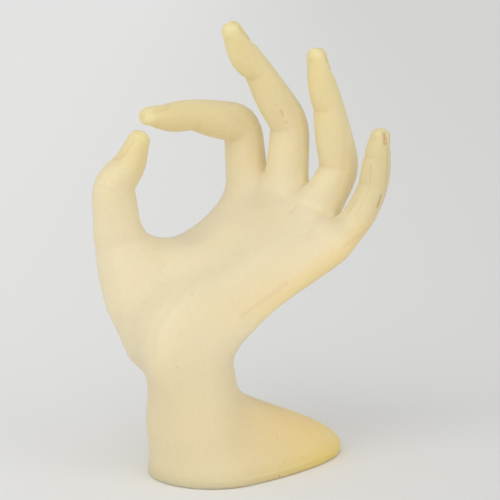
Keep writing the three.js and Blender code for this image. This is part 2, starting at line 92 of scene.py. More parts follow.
# Forms round the palm. A start in the palm is a share of its length, a place to the side and one in front;
# a share is the way from the thumb to the index's pad, and a drop is measured from the thumb's joint
INDEX_PAD_START = (0.35, -20, 5)
INDEX_PAD_END = (1, -8, 7)
INDEX_PAD_RADII = (12.2, 10.2)
WEB_FROM_THUMB = (0, 6, 0)
WEB_SHARE = 0.4
WEB_DROP = 6.2
WEB_SPAN = 0.8
WEB_START_SIZES = (11, 14, 14)
WEB_HALF_THICKNESS = 7.0
WEB_CAPS = (1, 0.5)
FOLD_SHARE = 0.42
FOLD_DROP = 13
FOLD_END_DROP = 3
FOLD_RADII = (7.0, 9.2)
BRIDGE_FROM_NECK = (-8.5, -8, 7)
BRIDGE_SHARE = 0.36
BRIDGE_SHIFT = (2, -2)
BRIDGE_DROP = 18
BRIDGE_RADII = (13.0, 12.0)
RISE_START = (0.75, -4, 0)
RISE_END = (-5, 2, 12)
RISE_SIZES = ((21, 7, 14), (18, 7, 10))
RISE_CAPS = (1, 0.5)
SADDLE_SHARE = 0.45
SADDLE_END = (0.45, -9, 11)
SADDLE_RADII = (10.0, 10.0)

# Skin between neighbouring fingers: its height above their roots, and its half sizes
WEB_HEIGHTS = {("index", "middle"): 26, ("middle", "ring"): 24, ("ring", "little"): 3}
FINGER_WEB = (5.0, 5.0, 6.5)

# Digits: place of the root from the knuckles, or the thumb's from the neck; half width, back depth and
# front depth at a finger's start in the palm, the root and the end of each bone; length, tilt forward and
# lean sideways of each bone; the swelling of the front over the last bones; and how far the path is rounded
# at its joints
DIGITS = {
    "index": {
        "root": (-27, 3, 0),
        "sizes": ((8.2, 8, 10), (9.2, 10, 10), (7.8, 9.2, 8), (6.6, 7.2, 6.2), (4.8, 4.6, 3.4)),
        "bones": ((49.5, 6, 0), (30, 79, 4), (24.3, 88, 7)),
        "pads": (1.0, 1.2, 1.8),
        "soften": 5.0,
    },
    "middle": {
        "root": (-9, -1, -2),
        "sizes": ((8.6, 8, 10), (9.6, 10, 10), (8.2, 8.6, 8.6), (6.4, 6.2, 6.2), (4.6, 4.6, 4.2)),
        "bones": ((52, -4, 0), (30.5, 37, 0), (21.8, 40, 0)),
        "pads": (1.0, 1.4, 3.1),
        "soften": 4.5,
    },
    "ring": {
        "root": (8.2, 0, -3),
        "sizes": ((8.4, 8, 9.8), (7.6, 4.6, 9.8), (8.4, 9.3, 8.6), (6.7, 7, 6.6), (4.7, 4.8, 3.2)),
        "bones": ((38.6, -29, 0), (28.4, 14.4, 0), (22.3, 19, 0)),
        "pads": (2.5, 1.2, 1.8),
        "soften": 4.5,
    },
    "little": {
        "root": (26, -2.6, -1),
        "sizes": (
            (3.6, 1.2, 6),
            (5.4, 3.8, 5.6),
            (6.8, 8.4, 5.8),
            (6.4, 7, 6.2),
            (5.8, 5.8, 6.4),
            (4.4, 4.2, 4.4),
        ),
        "bones": ((15.7, -37, 2), (15.7, -37, 2), (13.6, -6, 5), (8.3, -4, 3)),
        "pads": (0.5, 0.3),
        "soften": 5.0,
    },
    "thumb": {
        "root": (-17, 5, 1),
        "sizes": (
            (12.3, 15, 15.5),
            (13.5, 16, 17.5),
            (10, 9.6, 12),
            (8, 8.6, 10.4),
            (6.6, 9.6, 5.2),
            (4.4, 5.2, 4.4),
        ),
        "bones": ((20, 13, -19), (25, 13, -19), (24.5, 9, 3), (11.5, -22, 19), (10.6, -22, 18)),
        "pads": (),
        "soften": 2.6,
    },
}
FINGERS = ("index", "middle", "ring", "little")

# Nails: length, half width, shift across and share of the usual relief
NAILS = {
    "index": (13, 3.6, 0, 0.55),
    "middle": (13.5, 3.7, 0, 1),
    "ring": (13, 3.7, 0, 1),
    "little": (10.5, 3.3, 0, 0.8),
    "thumb": (14.5, 4.6, -2.4, 0.5),
}
NAIL_GROOVE = 0.48
NAIL_GROOVE_WIDTH = 0.6
NAIL_LINE_WIDTH = 0.42
NAIL_STEP = 0.45
NAIL_LIP = 0.5
NAIL_OVER_TIP = 0.75
NAIL_SQUARENESS = 3
# Creases on the front of the joints and ripples on their backs
CREASE_DEPTH = 0.22
CREASE_WIDTH = 1.1
RIPPLE_DEPTH = 0.22
RIPPLE_PITCH = 2.4
RIPPLE_REACH = 3.6
DETAIL_REACH = 3.0
# Where the fine forms start and are full: on the back and the front by the share of the depth, and round a
# nail by the share of its half size or of the back
ON_BACK = (0.15, 0.5)
ON_FRONT = (0.0, 0.5)
NAIL_PLATE = (1.08, 0.92)
NAIL_GROOVE_END = (0.9, 0.5)
NAIL_LINE_ON_BACK = (0.3, 0.9)

# Creases of the palm and thumb: path in the photograph's view, in pixels from its left and top, then depth
# and half width on the casting
CREASES = {
    "heel_of_palm": (((201, 276), (183, 292), (166, 311), (157, 326), (153, 340), (151, 361)), 0.4, 1.8),
    "below_middle_finger": (((295, 206), (288, 214)), 0.3, 0.9),
    "below_ring_finger": (((328, 208), (318, 221), (308, 234)), 0.4, 1.8),
    "side_of_thumb": (((101, 189), (105, 181), (109, 174)), 0.25, 0.9),
}

# Stains and scratches: path or one place in the same view, then half width on the casting and strength
STAINS = {
    "little_finger_stain": (((384, 134), (385, 143)), 1.8, 0.45),
    "little_finger_seam": (((387, 147), (387, 165), (386, 180), (385, 194)), 1.0, 0.16),
    "little_finger_nick": (((381, 195), (377, 207)), 0.8, 0.6),
    "little_finger_long_scratch": (((371, 165), (370, 188), (356, 215)), 0.55, 0.2),
    "little_finger_short_scratch": (((357, 199), (348, 214)), 0.55, 0.22),
    "palm_edge_seam": (((344, 246), (352, 240), (361, 234)), 1.0, 0.1),
    "palm_back_seam": (((241, 317), (255, 306), (270, 296), (287, 283)), 1.8, 0.08),
    "index_tip_stain": (((142, 117),), 2.2, 0.2),
    "middle_finger_upper_speck": (((277, 105),), 0.8, 0.25),
    "middle_finger_scratch": (((281, 110), (283, 116)), 0.6, 0.3),
    "middle_finger_lower_speck": (((286, 122),), 0.8, 0.4),
    "palm_speck": (((192, 294),), 0.8, 0.22),
    "palm_edge_speck": (((233, 308),), 0.8, 0.18),
    "heel_speck": (((181, 335),), 0.7, 0.18),
    "wrist_speck": (((177, 367),), 0.8, 0.25),
    "foot_upper_speck": (((230, 424),), 0.7, 0.15),
    "foot_middle_speck": (((277, 439),), 0.7, 0.2),
    "toe_speck": (((302, 457),), 0.7, 0.35),
    "foot_lower_speck": (((284, 462),), 0.8, 0.25),
    "rim_speck": (((279, 476),), 0.8, 0.7),
}

# Blends where one form runs into the next
ROOT_BLEND = 8.0
THUMB_BLEND = 9.0
BODY_BLEND = 10.0
FINGER_BLEND = 1.0
FOOT_EDGE = 1.2
FAR = 14.0
TUBE_ROOM = 2

# Steps of the paths and of the net, the box round the casting, and the net's measures
PATH_STEP = 0.75
LEAST_BEND = 0.3
SIZE_SOFTEN = 0.7
SKIN_STEP = 0.85
HAND_LOW = (-50, -64, -3)
HAND_HIGH = (42, 60, 198)
BLOCK = 4
NEAR_STEPS = 6.5
SLOPE_STEP = 0.08
SETTLE_ROUNDS = 3
SMALLEST_SLOPE = 0.05
LONGEST_MOVE = 0.6
SKIN_MOVES = 6


def point(x, y, z):
    """A place or a direction as an array."""
    return np.array([x, y, z], dtype=float)


def blend(a, b, share):
    """The value a given share of the way from a to b."""
    return a + (b - a) * share


def ease(value, low, high):
    """Smooth step from 0 at low to 1 at high."""
    t = np.clip((value - low) / (high - low), 0, 1)
    return t * t * (3 - 2 * t)


def heading(tilt, lean=0.0):
    """Direction of a bone that is tilted forward from upright and then leans sideways."""
    a = radians(tilt)
    b = radians(lean)
    return point(sin(b), -sin(a) * cos(b), cos(a) * cos(b))


def back_of(tilt):
    """Direction in which the back of a tilted bone looks."""
    return point(0, cos(radians(tilt)), sin(radians(tilt)))


def join(a, b, k):
    """Smooth union: the smaller distance, rounded off by a parabola where the two differ by less than k."""
    h = np.clip(0.5 + 0.5 * (b - a) / k, 0, 1)
    return b + (a - b) * h - k * h * (1 - h)


def meet(a, b, k):
    """Smooth intersection, the mirror image of the smooth union."""
    return -join(-a, -b, k)


class Tube:
    """A profile carried along a path.

    The path runs straight from joint to joint and is then averaged along its length under a bell, which
    rounds its corners; the half width, back depth and front depth are averaged with it. A point is
    measured from the nearest place of the path: past its ends, across and to the front. Each measure is
    divided by the half size there, and the distance is r (r - 1) / |slope| of the resulting radius r.
    """

    def __init__(self, joints, backs, sizes, pads=None, soften=0.0, caps=(1, 1), relief=None):
        joints = np.array(joints)
        lengths = np.linalg.norm(np.diff(joints, axis=0), axis=1)
        stops = np.concatenate([[0], np.cumsum(lengths)])
        count = int(stops[-1] / PATH_STEP) + 2
        along = np.linspace(0, stops[-1], count)
        self.joints = joints
        self.joint_stops = stops
        self.path = soft_path(stops, joints, along, soften)
        self.sizes = soft_path(stops, np.array(sizes, dtype=float), along, soften * SIZE_SOFTEN)
        tangent = np.gradient(self.path, axis=0)
        self.along = tangent / np.linalg.norm(tangent, axis=1)[:, None]
        across = np.cross(soft_path(stops, np.array(backs), along, max(soften, 1.0)), self.along)
        self.across = across / np.linalg.norm(across, axis=1)[:, None]
        self.front = np.cross(self.across, self.along)
        for number, height in enumerate(pads or ()):
            share = np.clip((along - stops[-1 - len(pads) + number]) / lengths[number - len(pads)], 0, 1)
            self.sizes[:, 2] += height * np.sin(pi * share)
        self.step = along[1] - along[0]
        self.table = np.hstack([self.path, self.along, self.across, self.front, self.sizes])
        self.relief = relief
        self.caps = (caps[0] * min(sizes[0][:2]), caps[1] * min(sizes[-1][:2]))
        room = self.sizes.max() + FAR + (MOUND_ROOM if relief else TUBE_ROOM)
        self.low = self.path.min(0) - room
        self.high = self.path.max(0) + room

    def local(self, p):
        """Distances along the path, past its ends, across and to the front, and the half sizes there.

        The place on the path is the lowest point of the parabola through the squared distances to the
        nearest place and its two neighbours.
        """
        middle = self.path.mean(0)
        path = (self.path - middle).astype(np.float32)
        last = len(path) - 1
        near = np.argmin((path**2).sum(1) - 2 * (p - middle).astype(np.float32) @ path.T, axis=1)
        inner = np.clip(near, 1, last - 1)
        before, here, after = [((p - self.path[inner + k]) ** 2).sum(1) for k in (-1, 0, 1)]
        bend = np.maximum(before - 2 * here + after, LEAST_BEND * self.step**2)
        place = np.clip(inner + np.clip(0.5 * (before - after) / bend, -1, 1), 0, last)
        low = np.minimum(place.astype(int), last - 1)
        found = blend(self.table[low], self.table[low + 1], (place - low)[:, None])
        q = p - found[:, :3]
        s = np.einsum("ij,ij->i", q, found[:, 3:6])
        past = np.where(place == 0, np.minimum(s, 0), np.where(place == last, np.maximum(s, 0), 0))
        x = np.einsum("ij,ij->i", q, found[:, 6:9])
        z = np.einsum("ij,ij->i", q, found[:, 9:12])
        return place * self.step, past, x, z, found[:, 12:]

    def field(self, p):
        """The distance near the tube; further off than any blend reaches it is a plain large number."""
        near = np.all((p > self.low) & (p < self.high), axis=1)
        far = np.full(len(p), FAR)
        far[near] = self.measure(p[near])
        return far

    def measure(self, p):
        """The distance as the class describes it, with the relief added to the front depth."""
        along, past, x, z, size = self.local(p)
        width = size[:, 0]
        depth = np.where(z > 0, size[:, 2], size[:, 1])
        if self.relief:
            depth = depth + np.where(z > 0, self.relief(along, x), 0)
        cap = np.where(past < 0, self.caps[0], self.caps[1])
        r = np.sqrt((x / width) ** 2 + (z / depth) ** 2 + (past / cap) ** 2)
        slope = np.sqrt((x / width**2) ** 2 + (z / depth**2) ** 2 + (past / cap**2) ** 2)
        return r * (r - 1) / (slope + 1e-6)


def soft_path(stops, values, along, width):
    """Values on straight lines between stops, averaged under a bell of a given width; the ends are kept."""
    step = along[1] - along[0]
    reach = int(3 * width / step) + 1
    edge = step * np.arange(1, reach + 1)
    inner = [np.interp(along, stops, column) for column in values.T]
    weights = np.exp(-0.5 * (step * np.arange(-reach, reach + 1) / max(width, 1e-3)) ** 2)
    weights = weights / weights.sum()
    made = []
    for column in inner:
        first = (column[1] - column[0]) / step
        last = (column[-1] - column[-2]) / step
        wide = np.concatenate([column[0] - first * edge[::-1], column, column[-1] + last * edge])
        made.append(np.convolve(wide, weights, "valid"))
    return np.stack(made, -1)


NECK = WRIST + point(0, 0, NECK_RISE)
KNUCKLES = (NECK + PALM_LENGTH * heading(-PALM_LEAN)) * (0, 1, 1)
PALM_BACK = back_of(-PALM_LEAN)
UPRIGHT = point(0, 1, 0)


def swelling(s, x):
    """Height of the palm's mounds: a sum of bells over the share of its length and the place across."""
    t = (s - COLUMN_DROP - NECK_RISE) / PALM_LENGTH
    total = 0
    for along, across, length, width, height in MOUNDS:
        total = total + height * np.exp(-(((t - along) / length) ** 2) - ((x - across) / width) ** 2)
    return total * ease(t, MOUND_START, 0.0)


def in_palm(share, side, front):
    """A place in the palm by its share of the length, to one side and in front of the axis."""
    return blend(NECK, KNUCKLES, share) + point(side, 0, 0) - PALM_BACK * front


def root_of(name):
    """Where a digit starts."""
    side, forward, rise = DIGITS[name]["root"]
    return (NECK if name == "thumb" else KNUCKLES) + point(side, -forward, rise)


def digit(name):
    """The tube of a digit: a finger starts with its ray inside the palm, the thumb with its ball."""
    facts = DIGITS[name]
    joints = [root_of(name)]
    backs = [back_of(facts["bones"][0][1])]
    for length, tilt, lean in facts["bones"]:
        joints.append(joints[-1] + length * heading(tilt, lean))
        backs.append(back_of(tilt))
    if name != "thumb":
        joints.insert(0, in_palm(RAY_START, facts["root"][0] * RAY_SPREAD, 0))
        backs.insert(0, PALM_BACK)
    return Tube(joints, backs, facts["sizes"], facts["pads"], facts["soften"])


TUBES = {name: digit(name) for name in DIGITS}


def round_tube(start, end, radii, back=UPRIGHT):
    """A straight tube of round section, from one radius to the other."""
    return Tube((start, end), (back, back), ((radii[0],) * 3, (radii[1],) * 3))


def palm_tube():
    """The wrist and palm in one, with the palm's mounds on its front."""
    middle_width = blend(PALM_START_HALF_WIDTH, PALM_END_HALF_WIDTH, PALM_MIDDLE_SHARE)
    return Tube(
        (WRIST - point(0, 0, COLUMN_DROP), WRIST, NECK, in_palm(0.5, 0, 0), KNUCKLES),
        (UPRIGHT, UPRIGHT, blend(UPRIGHT, PALM_BACK, 0.5), PALM_BACK, PALM_BACK),
        (
            (WRIST_HALF_WIDTH, WRIST_HALF_DEPTH, WRIST_HALF_DEPTH),
            (WRIST_HALF_WIDTH, WRIST_TOP_BACK, WRIST_HALF_DEPTH),
            (PALM_START_HALF_WIDTH, PALM_START_BACK, PALM_FRONT_DEPTH),
            (middle_width, PALM_MIDDLE_BACK, PALM_MIDDLE_FRONT),
            (PALM_END_HALF_WIDTH, PALM_END_BACK, PALM_FRONT_DEPTH),
        ),
        soften=PALM_SOFTEN,
        caps=PALM_CAPS,
        relief=swelling,
    )


def finger_web(first, second, height):
    """The skin between two fingers: a short tube from the middle of their roots to just below a height."""
    roots = [root_of(name) for name in (first, second)]
    ways = [heading(*DIGITS[name]["bones"][0][1:]) for name in (first, second)]
    start = (roots[0] + roots[1]) / 2
    top = start + height * (ways[0] + ways[1]) / 2
    end = blend(start, top, 1 - FINGER_WEB[1] / height)
    return Tube((start, end), (UPRIGHT, UPRIGHT), (FINGER_WEB, FINGER_WEB))


def body_tubes():
    """The palm, the pad under the index, the web of the thumb, and the lesser forms between them."""
    pad_end = root_of("index") + point(*INDEX_PAD_END)
    thumb_start, thumb_end = TUBES["thumb"].joints[1:3]

    def across(share, drop, shift=(0, 0)):
        """A place on the way from the thumb to the index's pad, a drop below the thumb's joint."""
        return blend(thumb_end, pad_end, share) * (1, 1, 0) + point(*shift, thumb_end[2] - drop)

    span = WEB_SPAN * abs(pad_end[1] - thumb_end[1]) / 2
    web = Tube(
        (root_of("thumb") + point(*WEB_FROM_THUMB), across(WEB_SHARE, WEB_DROP)),
        (UPRIGHT, UPRIGHT),
        (WEB_START_SIZES, (WEB_HALF_THICKNESS, span, span)),
        caps=WEB_CAPS,
    )
    rise = Tube(
        (in_palm(*RISE_START), KNUCKLES + point(*RISE_END)),
        (PALM_BACK, UPRIGHT),
        RISE_SIZES,
        caps=RISE_CAPS,
    )
    bridge_end = across(BRIDGE_SHARE, BRIDGE_DROP, BRIDGE_SHIFT)
    between = [
        round_tube(across(FOLD_SHARE, FOLD_DROP), pad_end - point(0, 0, FOLD_END_DROP), FOLD_RADII),
        round_tube(NECK + point(*BRIDGE_FROM_NECK), bridge_end, BRIDGE_RADII),
        rise,
        round_tube(blend(thumb_start, thumb_end, SADDLE_SHARE), in_palm(*SADDLE_END), SADDLE_RADII),
    ]
    between += [finger_web(*pair, height) for pair, height in WEB_HEIGHTS.items()]
    index_pad = round_tube(in_palm(*INDEX_PAD_START), pad_end, INDEX_PAD_RADII, PALM_BACK)
    return palm_tube(), index_pad, web, between


PALM, INDEX_PAD, WEB, FINGER_WEBS = body_tubes()


def foot_section(z):
    """Half width, middle, front, back and widest place of the foot's egg-shaped section at a height.

    The width falls to the wrist as a square; the toe falls along half a cosine wave.
    """
    low = PAD_THICKNESS + FOOT_RIM_HEIGHT
    t = np.clip((z - low) / (WRIST[2] - low), 0, 1)
    flare = (1 - t) ** 2
    sweep = 0.5 + 0.5 * np.cos(pi * t**TOE_FALL)
    half = blend(WRIST_HALF_WIDTH, FOOT_HALF_WIDTH, flare)
    middle = WRIST[0] * (1 - flare)
    front = blend(WRIST[1] - WRIST_HALF_DEPTH, -FOOT_HEEL, flare)
    back = blend(WRIST[1] + WRIST_HALF_DEPTH, FOOT_TOE, sweep)
    waist = blend(WRIST[1], FOOT_WAIST_Y, flare)
    return half, middle, front, back, waist


def foot_field(p):
    """Distance to the egg section at a point's height, cut flat below and drawn in towards the wrist."""
    half, middle, front, back, waist = foot_section(p[:, 2])
    x = p[:, 0] - middle
    y = p[:, 1] - waist
    depth = np.where(y > 0, back - waist, waist - front)
    r = np.sqrt((x / half) ** 2 + (y / depth) ** 2)
    slope = np.sqrt((x / half**2) ** 2 + (y / depth**2) ** 2)
    rise = np.clip((p[:, 2] - FOOT_FADE_HEIGHT) / (WRIST[2] - FOOT_FADE_HEIGHT), 0, FOOT_FADE_LIMIT)
    side = r * (r - 1) / (slope + 1e-6) + FOOT_FADE_DEPTH * rise**2
    return meet(side, PAD_THICKNESS - p[:, 2], FOOT_EDGE)


def hand_field(p):
    """Distance to the whole casting: body forms with wide blends, then each digit blended into the body."""
    body = join(PALM.field(p), foot_field(p), BODY_BLEND)
    body = join(body, INDEX_PAD.field(p), BODY_BLEND)
    body = join(body, WEB.field(p), BODY_BLEND)
    for web in FINGER_WEBS:
        body = join(body, web.field(p), ROOT_BLEND)
    total = join(body, TUBES["thumb"].field(p), THUMB_BLEND)
    for name in FINGERS:
        total = join(total, join(body, TUBES[name].field(p), ROOT_BLEND), FINGER_BLEND)
    return total


def carved_field(p):
    """The casting with its nails and creases, which are too fine for the first net."""
    total = hand_field(p)
    for name, tube in TUBES.items():
        inside = np.all((p > tube.low) & (p < tube.high), axis=1)
        close = np.flatnonzero((tube.field(p) < DETAIL_REACH) & inside)
        if len(close):
            total[close] += tube_detail(name, p[close])[0]
    for path, depth, width in CREASES.values():
        total += depth * bell(path_distance(p, on_skin(path)), width)
    return total


def path_distance(p, path):
    """Distance to a path of straight pieces: the foot of each place on a piece is kept between its ends."""
    best = np.full(len(p), np.inf)
    for start, end in zip(path, path[1:]):
        run = end - start
        share = np.clip((p - start) @ run / (run @ run), 0, 1)
        best = np.minimum(best, np.linalg.norm(p - start - share[:, None] * run, axis=1))
    return best


def sight_line(across, down):
    """Places along the line of sight through a place in the view.

    The line leaves the camera, and its share to the right and upwards grows with the place's distance
    from the middle of the view.
    """
    back = np.array(view_back(VIEW_AZIMUTH, VIEW_ELEVATION))
    right = np.array(view_back(VIEW_AZIMUTH + 90, 0))
    up = np.cross(back, right)
    pixel = VIEW_SENSOR / VIEW_LENS / VIEW_PIXELS
    way = pixel * (across - VIEW_PIXELS / 2) * right - pixel * (down - VIEW_PIXELS / 2) * up - back
    eye = (np.array(VIEW_TARGET) + VIEW_DISTANCE * back) / MM
    return eye + np.arange(*SIGHT_DEPTHS)[:, None] * way


@lru_cache(None)
def on_skin(path):
    """Places on the casting behind places in the view.

    Each is where its line of sight first enters the casting, or else comes nearest to it, and is then
    drawn on to the casting's level by steps along the field's slope.
    """
    places = []
    for across, down in path:
        line = sight_line(across, down)
        away = hand_field(line)
        places.append(line[np.argmax(away <= max(away.min(), 0))])
    places = np.array(places)
    for _ in range(SKIN_MOVES):
        here = hand_field(places)
        slope = gradient(hand_field, places, here)
        places = places - slope * (here / (slope**2).sum(1))[:, None]
    return places


def bell(distance, width):
    """1 at no distance, falling as a bell of a given width."""
    return np.exp(-((distance / width) ** 2))


def tube_detail(name, p):
    """Depth of a digit's fine forms, and the line round its nail, which is painted shade along its groove.

    The nail's outline is a rounded rectangle in the distances along and across the back: a groove runs
    round it, and the plate goes from a step at its root to a lip at its end. The creases are bells along
    the path at the joints of the front, and a row of ripples lies on the back of each joint.
    """
    tube = TUBES[name]
    along, past, x, z, size = tube.local(p)
    along = along + past
    back = ease(-z / size[:, 1], *ON_BACK)
    front = ease(z / size[:, 2], *ON_FRONT)
    if name == "thumb":
        back, front = front, back
    length, half, shift, relief = NAILS[name]
    end = tube.joint_stops[-1] + tube.caps[1] * NAIL_OVER_TIP
    u = (along - end + length / 2) / (length / 2)
    v = (x - shift) / half
    edge = (np.abs(u) ** NAIL_SQUARENESS + np.abs(v) ** NAIL_SQUARENESS) ** (1 / NAIL_SQUARENESS)
    from_edge = (edge - 1) * half
    plate = ease(edge, *NAIL_PLATE) * blend(NAIL_STEP, -NAIL_LIP, (u + 1) / 2)
    groove = NAIL_GROOVE * bell(from_edge, NAIL_GROOVE_WIDTH) * ease(u, *NAIL_GROOVE_END)
    depth = relief * back * (groove + plate)
    line = relief * ease(back, *NAIL_LINE_ON_BACK) * bell(from_edge, NAIL_LINE_WIDTH)
    for stop in tube.joint_stops[2:-1]:
        away = along - stop
        ripples = (0.5 + 0.5 * np.cos(2 * pi * away / RIPPLE_PITCH)) * bell(away, RIPPLE_REACH)
        depth = depth + CREASE_DEPTH * front * bell(away, CREASE_WIDTH) + RIPPLE_DEPTH * back * ripples
    return depth, line


def sample(field, points, batch=60000):
    """A field's values at many points, a batch at a time."""
    return np.concatenate([field(points[k : k + batch]) for k in range(0, len(points), batch)])


def lattice(low, step, count):
    """All points of a box grid, first axis slowest."""
    axes = [low[k] + step * np.arange(count[k]) for k in range(3)]
    return np.stack(np.meshgrid(*axes, indexing="ij"), -1).reshape(-1, 3)


def surface_net(field, low, high, step):
    """Closed quad mesh of a field's zero level.

    Blocks of several steps are measured at their middles, and only blocks near the level are measured
    at every grid point. Each crossed cell gets a vertex at the mean of the crossings on its edges, and
    each crossed grid edge gets a quad from the four cells round it.
    """
    blocks = np.ceil((high - low) / (BLOCK * step)).astype(int)
    count = blocks * BLOCK
    coarse = sample(field, lattice(low + (BLOCK - 1) / 2 * step, BLOCK * step, blocks)).reshape(blocks)
    value = coarse.repeat(BLOCK, 0).repeat(BLOCK, 1).repeat(BLOCK, 2)
    near = np.flatnonzero(np.abs(value).ravel() < NEAR_STEPS * step)
    place = np.stack(np.unravel_index(near, count), -1)
    value.ravel()[near] = sample(field, low + step * place)
    cells = count - 1
    total = np.zeros((*cells, 3))
    hits = np.zeros(cells)
    crossings = []
    for axis in range(3):
        a = np.moveaxis(value, axis, 0)
        first = a[:-1]
        last = a[1:]
        cross = (first < 0) != (last < 0)
        share = np.where(cross, first / np.where(cross, first - last, 1), 0)
        own = np.moveaxis(total, axis, 0)
        own_hits = np.moveaxis(hits, axis, 0)
        others = [k for k in range(3) if k != axis]
        for j in (0, 1):
            for k in (0, 1):
                part = (slice(None), slice(j, cells[others[0]] + j), slice(k, cells[others[1]] + k))
                own[..., axis] += share[part]
                own[..., others[0]] += cross[part] * j
                own[..., others[1]] += cross[part] * k
                own_hits += cross[part]
        crossings.append((np.moveaxis(cross, 0, axis), np.moveaxis(first < 0, 0, axis)))
    active = hits > 0
    number = np.cumsum(active.ravel()).reshape(active.shape) - 1
    corner = np.stack(np.nonzero(active), -1)
    vertices = low + step * (corner + total[active] / hits[active][:, None])
    quads = []
    for axis, (cross, inside) in enumerate(crossings):
        at = np.stack(np.nonzero(cross), -1)
        outward = inside[cross]
        b = (axis + 1) % 3
        c = (axis + 2) % 3
        loop = []
        for back_b, back_c in ((1, 1), (0, 1), (0, 0), (1, 0)):
            cell = at.copy()
            cell[:, b] -= back_b
            cell[:, c] -= back_c
            loop.append(number[cell[:, 0], cell[:, 1], cell[:, 2]])
        loop = np.stack(loop, -1)
        quads.append(np.where(outward[:, None], loop, loop[:, ::-1]))
    return vertices, np.concatenate(quads)


def gradient(field, p, here):
    """Slope of a field from its value at a point and a short step away along each axis."""
    steps = SLOPE_STEP * np.eye(3)
    return np.stack([(sample(field, p + step) - here) / SLOPE_STEP for step in steps], -1)


def settle(field, vertices, quads):
    """Evens out the net: each vertex moves half way to the mean of its neighbours, then back to the level.

    The move back goes along the field's slope, over a bounded distance, and twice in the last round.
    """
    pairs = np.concatenate([quads[:, [k, (k + 1) % 4]] for k in range(4)])
    first, second = np.concatenate([pairs, pairs[:, ::-1]]).T
    total = len(vertices)
    degree = np.bincount(first, minlength=total)
    for moves in [1] * (SETTLE_ROUNDS - 1) + [2]:
        sums = [np.bincount(first, column[second], total) for column in vertices.T]
        vertices = blend(vertices, np.stack(sums, -1) / degree[:, None], 0.5)
        for _ in range(moves):
            here = sample(field, vertices)
            slope = gradient(field, vertices, here)
            move = slope * (here / np.maximum((slope**2).sum(1), SMALLEST_SLOPE))[:, None]
            reach = np.linalg.norm(move, axis=1)
            vertices = vertices - move * np.minimum(1, LONGEST_MOVE / np.maximum(reach, 1e-9))[:, None]
    return vertices, slope


class Value:
    """A shader socket in Python arithmetic: each operation adds a Math node."""

    def __init__(self, tree, socket):
        self.tree = tree
        self.socket = socket

    def math(self, operation, *others):
        """A Math node on this value and others, which may be numbers."""
        node = self.tree.nodes.new("ShaderNodeMath")
        node.operation = operation
        for number, item in enumerate((self, *others)):
            if isinstance(item, Value):
                self.tree.links.new(item.socket, node.inputs[number])
            else:
                node.inputs[number].default_value = item
        return Value(self.tree, node.outputs[0])

    def __add__(self, other):
        return self.math("ADD", other)

    __radd__ = __add__

    def __mul__(self, other):
        return self.math("MULTIPLY", other)

    __rmul__ = __mul__


class Finish:
    """A material and one method that adds any node to it."""

    def __init__(self, name):
        self.material = bpy.data.materials.new(name)
        self.material.use_nodes = True
        self.tree = self.material.node_tree
        self.shader = self.tree.nodes["Principled BSDF"]

    def node(self, kind, settings=None, inputs=None, output=0):
        """Any node by its type, its settings and the values or links of its sockets."""
        made = self.tree.nodes.new("ShaderNode" + kind)
        for key, item in (settings or {}).items():
            setattr(made, key, item)
        for key, item in (inputs or {}).items():
            self.feed(made.inputs[key], item)
        return Value(self.tree, made.outputs[output])

    def feed(self, socket, item):
        """Links a value to a socket, or sets a constant on it."""
        if isinstance(item, Value):
            self.tree.links.new(item.socket, socket)
        else:
            socket.default_value = item

    def set(self, **inputs):
        """Feeds the surface's own sockets."""
        for key, item in inputs.items():
            self.feed(self.shader.inputs[key.replace("_", " ")], item)

    def place(self):
        """Place on the piece in its own coordinates."""
        return self.node("TexCoord", output="Object")

    def share(self, name):
        """A share from 0 to 1 that the mesh holds at each vertex."""
        return self.node("Attribute", {"attribute_name": name}, output="Fac")

    def noise(self, scale, detail=2.0, rough=0.5):
        """Cloudy noise with a number of waves to the metre."""
        inputs = {"Vector": self.place(), "Scale": scale, "Detail": detail, "Roughness": rough}
        return self.node("TexNoise", inputs=inputs, output="Fac")

    def span(self, value, low, high, to_low=0.0, to_high=1.0):
        """Smooth step from one range to another."""
        inputs = {"Value": value, 1: low, 2: high, 3: to_low, 4: to_high}
        return self.node("MapRange", {"interpolation_type": "SMOOTHSTEP"}, inputs)

    def near(self, path, width):
        """Share of a stain: 1 on a path over the skin, or at one place, falling to 0 at a width from it."""
        spots = [Vector(spot * MM) for spot in path]
        away = self.vector("DISTANCE", {0: self.place(), 1: spots[0]}, "Value")
        for start, end in zip(spots, spots[1:]):
            run = end - start
            gone = self.vector("SUBTRACT", {0: self.place(), 1: start})
            share = self.vector("DOT_PRODUCT", {0: gone, 1: run / run.length_squared}, "Value")
            share = share.math("MAXIMUM", 0).math("MINIMUM", 1)
            foot = self.vector("SCALE", {0: run, "Scale": share})
            away = away.math("MINIMUM", self.vector("DISTANCE", {0: gone, 1: foot}, "Value"))
        return self.span(away, width * MM, 0.0)

    def vector(self, operation, inputs, output=0):
        """A Vector Math node."""
        return self.node("VectorMath", {"operation": operation}, inputs, output)

    def colour(self, share, first, second, way="MIX"):
        """Two colours mixed, or the first multiplied by the second, by a share."""
        inputs = {0: share, 6: first, 7: second}
        return self.node("Mix", {"data_type": "RGBA", "blend_type": way}, inputs, 2)


def put(name, vertices, faces, finish, replaced, attributes=None):
    """A smooth mesh object in metres at the origin, riding on the part's only body."""
    mesh = bpy.data.meshes.new(name)
    mesh.from_pydata((vertices * MM).tolist(), [], faces.tolist())
    mesh.polygons.foreach_set("use_smooth", np.ones(len(faces), dtype=bool))
    for key, values in (attributes or {}).items():
        own = mesh.attributes.new(key, "FLOAT", "POINT")
        own.data.foreach_set("value", values.astype(np.float32))
    mesh.materials.append(finish.material)
    piece = bpy.data.objects.new(name, mesh)
    bpy.context.scene.collection.objects.link(piece)
    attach(piece, "root")
    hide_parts(*replaced)
    return piece


def linear(red, green, blue):
    """A display colour of 0 to 255 as linear light."""
    return tuple((c / 255) ** 2.2 for c in (red, green, blue)) + (1.0,)
